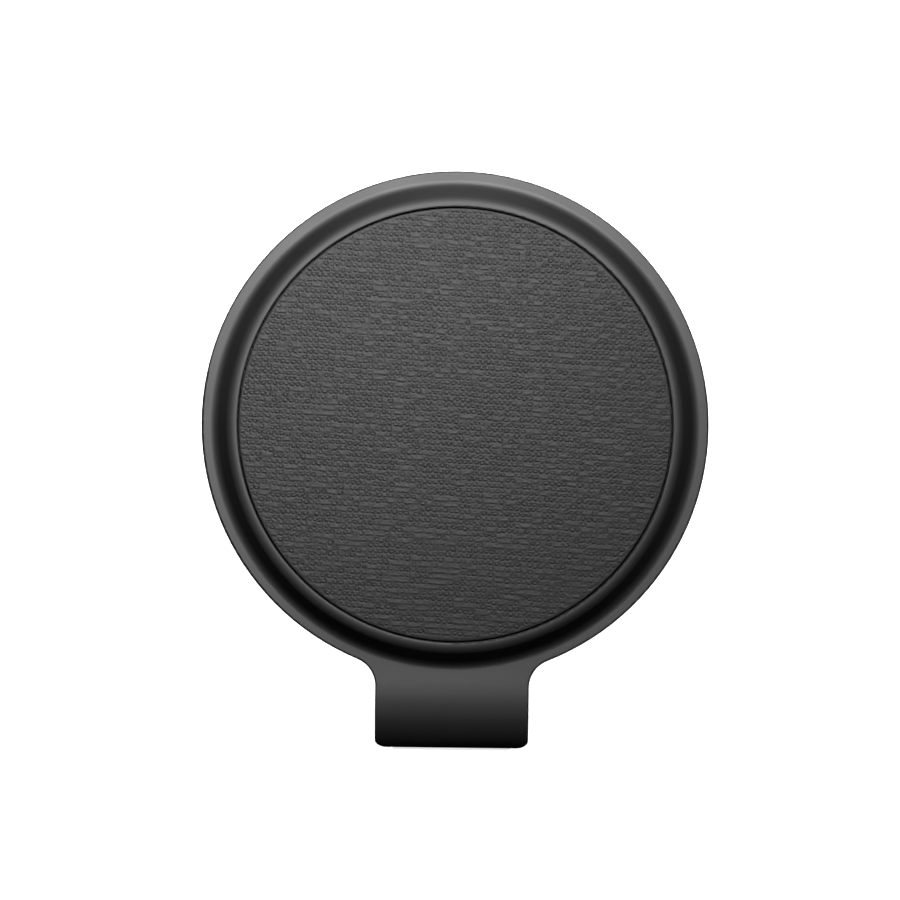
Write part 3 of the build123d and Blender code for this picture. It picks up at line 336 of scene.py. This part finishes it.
def board(name):
    """Solder mask with faint copper runs under it and a fine glass weave."""
    m, nt, bsdf = new_mat(name)
    v = coords(nt)
    runs = nt.nodes.new("ShaderNodeTexBrick")
    runs.inputs["Scale"].default_value = 260.0
    runs.inputs["Mortar Size"].default_value = 0.03
    runs.inputs["Color1"].default_value = (0, 0, 0, 1)
    runs.inputs["Color2"].default_value = (0.35, 0.35, 0.35, 1)
    runs.inputs["Mortar"].default_value = (1, 1, 1, 1)
    nt.links.new(v, runs.inputs["Vector"])
    nt.links.new(mixcol(nt, runs.outputs["Fac"], (0.008, 0.045, 0.022), (0.02, 0.085, 0.045)), bsdf.inputs["Base Color"])
    weave = nt.nodes.new("ShaderNodeTexWave")
    weave.inputs["Scale"].default_value = 900.0
    weave.inputs["Distortion"].default_value = 0.5
    nt.links.new(v, weave.inputs["Vector"])
    nt.links.new(maprange(nt, noise(nt, v, 300.0), 0.3, 0.7, 0.22, 0.34), bsdf.inputs["Roughness"])
    bump(nt, bsdf, math_node(nt, "ADD", runs.outputs["Fac"], math_node(nt, "MULTIPLY", weave.outputs["Fac"], 0.2)), 0.3, 0.00003)
    return m


MATS["circuit_board"] = board("circuit_board")


def guide(name):
    """Smoked diffuser: near black until the light behind it is on."""
    m, nt, bsdf = new_mat(name)
    v = coords(nt)
    nt.links.new(mixcol(nt, noise(nt, v, 160.0), (0.006, 0.006, 0.0065), (0.011, 0.011, 0.012)), bsdf.inputs["Base Color"])
    bsdf.inputs["Transmission Weight"].default_value = 0.2
    nt.links.new(maprange(nt, noise(nt, v, 2400.0), 0.3, 0.7, 0.35, 0.55), bsdf.inputs["Roughness"])
    bump(nt, bsdf, noise(nt, v, 3000.0), 0.1, 0.00002)
    return m


MATS["light_guide"] = guide("light_guide")


def ribbon(name):
    m, nt, bsdf = new_mat(name)
    v = coords(nt)
    w = nt.nodes.new("ShaderNodeTexWave")
    w.bands_direction = "X"
    w.inputs["Scale"].default_value = 320.0
    nt.links.new(v, w.inputs["Vector"])
    nt.links.new(mixcol(nt, w.outputs["Fac"], (0.42, 0.17, 0.035), (0.5, 0.26, 0.08)), bsdf.inputs["Base Color"])
    bsdf.inputs["Roughness"].default_value = 0.3
    bump(nt, bsdf, w.outputs["Fac"], 0.3, 0.00002)
    return m


MATS["ribbon_film"] = ribbon("ribbon_film")


def cloth(name):
    """Fine acoustic mesh: two crossed thread waves."""
    m, nt, bsdf = new_mat(name)
    v = coords(nt)
    hs = []
    for d in ("X", "Z"):
        w = nt.nodes.new("ShaderNodeTexWave")
        w.bands_direction = d
        w.inputs["Scale"].default_value = 1100.0
        nt.links.new(v, w.inputs["Vector"])
        hs.append(w.outputs["Fac"])
    h = math_node(nt, "MULTIPLY", hs[0], hs[1])
    nt.links.new(mixcol(nt, h, (0.004, 0.004, 0.004), (0.03, 0.03, 0.03)), bsdf.inputs["Base Color"])
    bsdf.inputs["Roughness"].default_value = 0.85
    bsdf.inputs["Sheen Weight"].default_value = 0.3
    bump(nt, bsdf, h, 0.8, 0.00008)
    return m


MATS["grille_cloth"] = cloth("grille_cloth")


def film(name):
    """The face: the same plastic, embossed. Height is baked in the mesh as an attribute: the raised grain is a little
    glossier, as from wear, and the base colour is darker down in the valleys, a painted shade.
    """
    m, nt, bsdf = new_mat(name)
    v = coords(nt)
    at = nt.nodes.new("ShaderNodeAttribute")
    at.attribute_name = "grain"
    big = noise(nt, v, 40.0, 4.0)
    fine = noise(nt, v, 9000.0, 3.0, 0.65)
    mid = noise(nt, v, 2300.0, 3.0, 0.6)
    top = mixcol(nt, maprange(nt, big, 0.3, 0.7, 0, 1), (0.0078, 0.0078, 0.0080), (0.0100, 0.0100, 0.0102))
    # painted shade: the base colour runs from near black in the grain's valleys up to the lighter tone on its raised
    # tops
    n = nt.nodes.new("ShaderNodeMix")
    n.data_type = "RGBA"
    nt.links.new(maprange(nt, at.outputs["Fac"], 0.15, 0.9, 0, 1), n.inputs["Factor"])
    n.inputs["A"].default_value = (0.005, 0.005, 0.005, 1)
    nt.links.new(top, n.inputs["B"])
    nt.links.new(n.outputs["Result"], bsdf.inputs["Base Color"])
    r = math_node(nt, "ADD", maprange(nt, at.outputs["Fac"], 0.0, 1.0, 0.58, 0.52), maprange(nt, mid, 0.3, 0.7, -0.03, 0.03))
    nt.links.new(r, bsdf.inputs["Roughness"])
    bsdf.inputs["Specular IOR Level"].default_value = 0.230
    bump(nt, bsdf, math_node(nt, "ADD", math_node(nt, "MULTIPLY", fine, 0.5), mid), 0.15, 0.000012)
    return m


MATS["face_film"] = film("face_film")

slot_of = {s["node"]: s["material_slot"] for s in frame["record"]["subparts"]}
for name, ob in NODES.items():
    m = MATS[slot_of[name]]
    if ob.data.materials:
        for k in range(len(ob.material_slots)):
            ob.material_slots[k].material = m
    else:
        ob.data.materials.append(m)

# ------------------------------------------------------------------ the embossed face
PITCH = 1.094
GRAIN_TURN = math.radians(-2.9)
TOP_Z = 4.985  # valley level of the grain; the nubs stand above it
GRAIN_H = 0.185
R_FILM = 42.6
RIM_R = 0.2


def grain(u, v):
    """Height 0 to 1 of the cross grain at u along the rows and v across them, in pitches. Each cell holds a low nub in
    its own ring groove, deeper on the lower side; some neighbours merge into short bars, some cells stay plain, and the
    rows waver. Down the disc the embossing gets slightly shallower and more of it runs in bars."""
    down = smooth(0, 32, 100 - v)
    u = u + 0.26 * (vnoise(u / 7, v / 5, lattice(1)) - 0.5)
    v = v + 0.18 * (vnoise(u / 9 + 40, v / 3.5, lattice(2)) - 0.5) + 0.14 * (vnoise(u / 1.5, v / 1.7 + 9, lattice(3)) - 0.5)
    du, dv = vnoise(u / 0.42, v / 0.42 + 5, lattice(51)) - 0.5, vnoise(u / 0.42 + 8, v / 0.42, lattice(52)) - 0.5
    u, v = u + 0.24 * du, v + 0.16 * dv
    j = np.floor(v).astype(int)
    fv = v - j - 0.5
    n = 256
    row = np.random.default_rng(5).random(n)
    uu = u + 0.35 * (row[j % n] - 0.5)
    i = np.floor(uu).astype(int)
    fu = uu - i - 0.5
    rnd = lambda s: np.random.default_rng(s).random((n, n))
    at = lambda g, a, b: g[a % n, b % n]
    amp, bridge, size, kind, jx, jy = rnd(11), rnd(12), rnd(14), rnd(15), rnd(16), rnd(17)
    def merged(a, b):
        patch = vnoise(a / 3.2 + 3, b / 1.3, lattice(21))
        p = 0.03 + 0.14 * smooth(0.50, 0.80, patch) + 0.20 * smooth(0, 32, 100 - b) * smooth(0.40, 0.60, patch)
        return at(bridge, a, b) < p
    right, left = merged(i, j), merged(i - 1, j)
    a = (0.40 + 0.60 * at(amp, i, j)) * (1 - 0.20 * down)
    cu = fu - 0.22 * (at(jx, i, j) - 0.5)
    cv = fv - 0.14 * (at(jy, i, j) - 0.5)
    r_u = 0.29 + 0.10 * at(size, i, j)
    r_v = 0.25 + 0.07 * at(size, j, i)
    cuu = np.where((right & (cu > 0)) | (left & (cu < 0)), 0, cu)
    rho = np.sqrt((cuu / r_u) ** 2 + (cv / r_v) ** 2)
    phi = np.arctan2(cv / r_v, cuu / r_u)
    low = np.clip(0.5 - 0.5 * np.sin(phi), 0, 1)
    single = ~(right | left)
    k = at(kind, i, j)
    dome_h = np.where(single, np.where(k < 0.60, 0.15, np.where(k < 0.85, 0.0, 0.10)), 0.08) * a
    dome = dome_h * (1 - smooth(0.1, 0.95, rho))
    gd = np.where(single, np.where(k < 0.92, 0.95, 0.15), 0.36) * a
    groove = gd * (0.32 + 0.68 * np.sqrt(low)) * np.exp(-((rho - 1.12) / 0.42) ** 2)
    wave = 0.02 + 0.08 * vnoise(u / 3.1 + 7, v / 1.3, lattice(41))
    land = 0.56 + wave * np.cos(2 * np.pi * fv) - 0.04 * np.cos(2 * np.pi * fu)
    h = land + dome - groove
    return np.clip(h, 0, 1)


def face_film_piece():
    step, step_v = PITCH / 8.0, PITCH / 8.0
    r1 = R_FILM - RIM_R - 0.02
    k, kv = int(R_FILM / step) + 2, int(R_FILM / step_v) + 2
    gu, gv = np.meshgrid(np.arange(-k, k + 1) * step, np.arange(-kv, kv + 1) * step_v, indexing="ij")
    inside = np.hypot(gu, gv) <= r1 - 0.25 * step
    quad = inside[:-1, :-1] & inside[1:, :-1] & inside[:-1, 1:] & inside[1:, 1:]
    used = np.zeros_like(inside)
    used[:-1, :-1] |= quad
    used[1:, :-1] |= quad
    used[:-1, 1:] |= quad
    used[1:, 1:] |= quad
    idx = -np.ones(inside.shape, int)
    idx[used] = np.arange(used.sum())
    count = np.zeros(inside.shape, int)
    count[:-1, :-1] += quad
    count[1:, :-1] += quad
    count[:-1, 1:] += quad
    count[1:, 1:] += quad
    edge = used & (count < 4)
    u, v = gu[used], gv[used]
    on_edge = edge[used]
    r = np.hypot(u, v)
    u, v = np.where(on_edge, u / r * r1, u), np.where(on_edge, v / r * r1, v)
    r = np.hypot(u, v)
    c, s = math.cos(GRAIN_TURN), math.sin(GRAIN_TURN)
    x, y = u * c - v * s, u * s + v * c
    h = grain(u / PITCH + 100.37, v / PITCH + 100.11)
    fade = 1 - smooth(r1 - 0.35, r1, r)
    fine = vnoise(u / 0.26, v / 0.26, lattice(31)) - 0.5
    hh = h * fade + 0.30 * (1 - fade)
    z = TOP_Z + GRAIN_H * (hh - 0.35) + 0.020 * fine * fade
    verts = [np.stack([x, y, z], 1)]
    g = [hh]
    a, b = np.nonzero(quad)
    faces = np.stack([idx[a, b], idx[a + 1, b], idx[a + 1, b + 1], idx[a, b + 1]], 1).tolist()
    # rim: round over, wall, underside
    ids = np.nonzero(on_edge)[0]
    ang = np.arctan2(y[ids], x[ids])
    order = np.argsort(ang)
    ids, ang = ids[order], ang[order]
    z_edge = TOP_Z + GRAIN_H * (0.30 - 0.35)
    bottom = 4.181
    rings = []
    for t in (18, 36, 54, 72, 90):
        q = math.radians(t)
        rings.append((R_FILM - RIM_R + RIM_R * math.sin(q), z_edge - RIM_R * (1 - math.cos(q))))
    rings += [(R_FILM, bottom + 0.05), (R_FILM - 0.05, bottom), (R_FILM - 0.6, bottom), (20.0, bottom)]
    base = len(x)
    prev = ids
    m = len(ids)
    for rr, zz in rings:
        verts.append(np.stack([rr * np.cos(ang), rr * np.sin(ang), np.full(m, zz)], 1))
        g.append(np.full(m, 0.3))
        cur = np.arange(base, base + m)
        nxt, pn = np.roll(cur, -1), np.roll(prev, -1)
        faces += np.stack([prev, cur, nxt, pn], 1).tolist()
        prev = cur
        base += m
    verts.append(np.array([[0, 0, bottom]]))
    g.append(np.array([0.3]))
    faces += [[int(p), base, int(q)] for p, q in zip(prev, np.roll(prev, -1))]
    ob = mesh_piece("face_film_embossed", to_row(np.concatenate(verts)), faces, MATS["face_film"])
    layer = ob.data.attributes.new("grain", "FLOAT", "POINT")
    layer.data.foreach_set("value", np.concatenate(g).astype(np.float32))
    return ob


face = face_film_piece()
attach(face, "face_panel")
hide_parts("face_skin")


# ------------------------------------------------------------------ the bezel, with exact normals on its curved faces
CURL = ((40.0, 3.44), (20.0, 15.07), (10.5, 68.0))  # radius of the tab's front face, angle reached
BEND_Y, SHEET = -50.6, 2.3
CROWN_H, R_FLAT_IN, R_FOOT, R_BEAD, R_TOP, R_LIP = 5.281, 48.3, 1.99, 43.2, 2.15, 0.35


def bezel_normals(p, fn, auto):
    """Normals at corners p (head-frame mm) of faces with normals fn. Where a corner lies on a surface of the known
    profile, that surface's own normal; elsewhere the averaged one."""
    r = np.maximum(np.hypot(p[:, 0], p[:, 1]), 1e-9)
    er = np.stack([p[:, 0] / r, p[:, 1] / r, np.zeros_like(r)], 1)
    ez = np.array([0.0, 0.0, 1.0])
    best, out = np.full(len(p), math.cos(math.radians(24.0))), auto.copy()

    def offer(on, n):
        d = (n * fn).sum(1)
        use = on & (d > best)
        best[use] = d[use]
        out[use] = n[use]

    def ring(rc, zc, rad, lo, hi, sign):
        a, b = r - rc, p[:, 2] - zc
        d = np.hypot(a, b)
        t = np.degrees(np.arctan2(sign * a, sign * b))
        n = sign * (er * (a / np.maximum(d, 1e-9))[:, None] + ez * (b / np.maximum(d, 1e-9))[:, None])
        offer((abs(d - rad) < 0.02) & (t > lo - 1) & (t < hi + 1), n)

    head = p[:, 1] > BEND_Y - 0.01
    offer(head & (abs(p[:, 2]) < 0.01) & (r > R_FLAT_IN - 0.05), np.tile(ez, (len(p), 1)))
    offer(head & (abs(p[:, 2] + SHEET) < 0.01) & (r > R_FLAT_IN - 0.05), np.tile(-ez, (len(p), 1)))
    w = math.radians(65.0)
    wall = er * math.sin(w) + ez * math.cos(w)
    foot = (R_FLAT_IN - R_FOOT * math.sin(w), R_FOOT - R_FOOT * math.cos(w))
    off = (r - foot[0]) * math.sin(w) + (p[:, 2] - foot[1]) * math.cos(w)
    offer((abs(off) < 0.02) & (p[:, 2] > foot[1] - 0.02) & (r > R_BEAD), wall)
    ring(R_FLAT_IN, R_FOOT, R_FOOT, 0, 65, -1)
    ring(R_BEAD, CROWN_H - R_TOP, R_TOP, 0, 65, 1)
    ring(R_BEAD, CROWN_H - R_LIP, R_LIP, -90, 0, 1)
    ring(49.55, -0.45, 0.45, 0, 90, 1)
    ring(49.55, 0.45 - SHEET, 0.45, 90, 180, 1)
    y, z, a0 = BEND_Y, 0.0, 0.0
    for rad, a1 in CURL:
        cy, cz = y + rad * math.sin(math.radians(a0)), z - rad * math.cos(math.radians(a0))
        a, b = p[:, 1] - cy, p[:, 2] - cz
        d = np.maximum(np.hypot(a, b), 1e-9)
        t = np.degrees(np.arctan2(-a, b))
        n = np.stack([np.zeros_like(d), a / d, b / d], 1)
        on = (t > a0 - 0.3) & (t < a1 + 0.3)
        offer(on & (abs(d - rad) < 0.02), n)
        offer(on & (abs(d - (rad - SHEET)) < 0.02), -n)
        y, z, a0 = cy - rad * math.sin(math.radians(a1)), cz + rad * math.cos(math.radians(a1)), a1
    return out


def smooth_copy(node, name, mat, split_deg, exact=None):
    """The same shape as a CAD node with its facets' seams joined, so that it shades as one moulded surface."""
    src = NODES[node]
    me = src.data.copy()
    me.name = name
    me.transform(src.matrix_world)
    bm = bmesh.new()
    bm.from_mesh(me)
    bmesh.ops.remove_doubles(bm, verts=bm.verts, dist=1e-6)
    bmesh.ops.dissolve_degenerate(bm, edges=bm.edges, dist=1e-7)
    bm.to_mesh(me)
    bm.free()
    if "custom_normal" in me.attributes:
        me.attributes.remove(me.attributes["custom_normal"])
    me.materials.clear()
    me.materials.append(mat)
    me.shade_smooth()
    me.set_sharp_from_angle(angle=math.radians(split_deg))
    n = len(me.loops)
    vi, nr = np.zeros(n, int), np.zeros(n * 3, np.float32)
    co, pn = np.zeros(len(me.vertices) * 3, np.float32), np.zeros(len(me.polygons) * 3, np.float32)
    me.loops.foreach_get("vertex_index", vi)
    me.vertices.foreach_get("co", co)
    me.corner_normals.foreach_get("vector", nr)
    me.polygons.foreach_get("normal", pn)
    tot = np.zeros(len(me.polygons), int)
    me.polygons.foreach_get("loop_total", tot)
    nr = nr.reshape(-1, 3).astype(float)
    if exact is not None:
        p = (co.reshape(-1, 3)[vi] - np.array([*O])) @ HEAD.T / MM
        fn = np.repeat(pn.reshape(-1, 3), tot, axis=0) @ HEAD.T
        nr = exact(p, fn, nr @ HEAD.T) @ HEAD
    me.normals_split_custom_set(nr.tolist())
    ob = bpy.data.objects.new(name, me)
    bpy.context.scene.collection.objects.link(ob)
    return ob


bezel = smooth_copy("front_bezel", "front_bezel_moulding", MATS["bezel_plastic"], 28, bezel_normals)
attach(bezel, "head")
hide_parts("front_bezel")

shell = smooth_copy("rear_shell", "rear_shell_moulding", MATS["shell_plastic"], 28)
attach(shell, body_of(NODES["rear_shell"])[0])
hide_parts("rear_shell")

def soften(node, width_mm):
    """Rounds the moulded edges of a rubber or plastic part that the CAD leaves crisp."""
    ob = NODES[node]
    weld = ob.modifiers.new("weld", "WELD")
    weld.merge_threshold = 1e-6
    bev = ob.modifiers.new("round", "BEVEL")
    bev.width = width_mm * MM
    bev.segments = 3
    bev.limit_method = "ANGLE"
    bev.angle_limit = math.radians(28)
    bev.harden_normals = True


soften("toe_pad", 0.4)
soften("leg_foot_pad", 0.3)

# ------------------------------------------------------------------ floor, light, camera
fm, fnt, fb = new_mat("stage_floor")
fb.inputs["Base Color"].default_value = (0.86, 0.86, 0.86, 1)
fb.inputs["Roughness"].default_value = 0.9
fb.inputs["Specular IOR Level"].default_value = 0.1
fb.inputs["Emission Color"].default_value = (1, 1, 1, 1)
fb.inputs["Emission Strength"].default_value = 0.80
me = bpy.data.meshes.new("floor")
me.from_pydata([(-6, -6, 0), (6, -6, 0), (6, 6, 0), (-6, 6, 0)], [], [(0, 1, 2, 3)])
me.materials.append(fm)
floor = bpy.data.objects.new("floor", me)
bpy.context.scene.collection.objects.link(floor)
floor.visible_glossy = False
floor.visible_diffuse = False

world = bpy.data.worlds.new("studio")
bpy.context.scene.world = world
world.use_nodes = True
wn = world.node_tree
wn.nodes.clear()
wo = wn.nodes.new("ShaderNodeOutputWorld")
lp = wn.nodes.new("ShaderNodeLightPath")
bg1, bg2, mx = wn.nodes.new("ShaderNodeBackground"), wn.nodes.new("ShaderNodeBackground"), wn.nodes.new("ShaderNodeMixShader")
bg1.inputs["Color"].default_value = (1, 1, 1, 1)
bg1.inputs["Strength"].default_value = 0.004
bg2.inputs["Color"].default_value = (1, 1, 1, 1)
bg2.inputs["Strength"].default_value = 1.0
wn.links.new(lp.outputs["Is Camera Ray"], mx.inputs["Fac"])
wn.links.new(bg1.outputs["Background"], mx.inputs[1])
wn.links.new(bg2.outputs["Background"], mx.inputs[2])
wn.links.new(mx.outputs["Shader"], wo.inputs["Surface"])


def area(name, pos, target, size, power, shape="RECTANGLE", size_y=None):
    ld = bpy.data.lights.new(name, "AREA")
    ld.shape = shape
    ld.size = size
    ld.size_y = size_y or size
    ld.energy = power
    lo = bpy.data.objects.new(name, ld)
    bpy.context.scene.collection.objects.link(lo)
    lo.location = pos
    lo.rotation_euler = (Vector(target) - Vector(pos)).to_track_quat("-Z", "Y").to_euler()
    return lo


centre = hp(0, 0, 0)


def around(side_deg, up_deg, dist):
    """A point at an angle to the side of and above the face's own axis."""
    a, b = math.radians(side_deg), math.radians(up_deg)
    d = OUT * (math.cos(a) * math.cos(b)) + X * (math.sin(a) * math.cos(b)) + UP * math.sin(b)
    return centre + d * dist


key = area("key", around(1, 25.5, 0.30), hp(-45, 40, 0), 0.13, 0.485)
key.data.spread = math.radians(70)
area("top", around(-10, 100, 0.80), centre, 0.30, 1.0)
# these stay behind the brim, so that the front is lit by the key alone
area("back_left", around(-152, 25, 0.8), centre, 0.25, 8.0)
area("back_right", around(152, 25, 0.8), centre, 0.25, 8.0)
area("side_left", around(-143, 3, 0.8), centre, 0.1, 4.0)
area("side_right", around(143, 3, 0.8), centre, 0.1, 4.0)

cam_data = bpy.data.cameras.new("camera")
cam = bpy.data.objects.new("camera", cam_data)
bpy.context.scene.collection.objects.link(cam)
DIST = 3.0
PX_PER_MM = 253.7 / 50.0
cam_data.sensor_width = 36.0
cam_data.lens = PX_PER_MM * 1000 * DIST * 36.0 / 900.0
ROLL = math.radians(0.68)
right = X * math.cos(ROLL) + UP * math.sin(ROLL)
up = UP * math.cos(ROLL) - X * math.sin(ROLL)
aim = hp(0, 0, -1.0) - right * ((455.1 - 450) / PX_PER_MM * MM) - up * ((450 - 424.8) / PX_PER_MM * MM)
rot = Matrix((right, up, OUT)).transposed()
cam.matrix_world = Matrix.Translation(aim + OUT * DIST) @ rot.to_4x4()
cam_data.clip_start, cam_data.clip_end = 0.01, 50
bpy.context.scene.camera = cam
bpy.context.scene.view_settings.view_transform = "Standard"
bpy.context.scene.view_settings.look = "None"
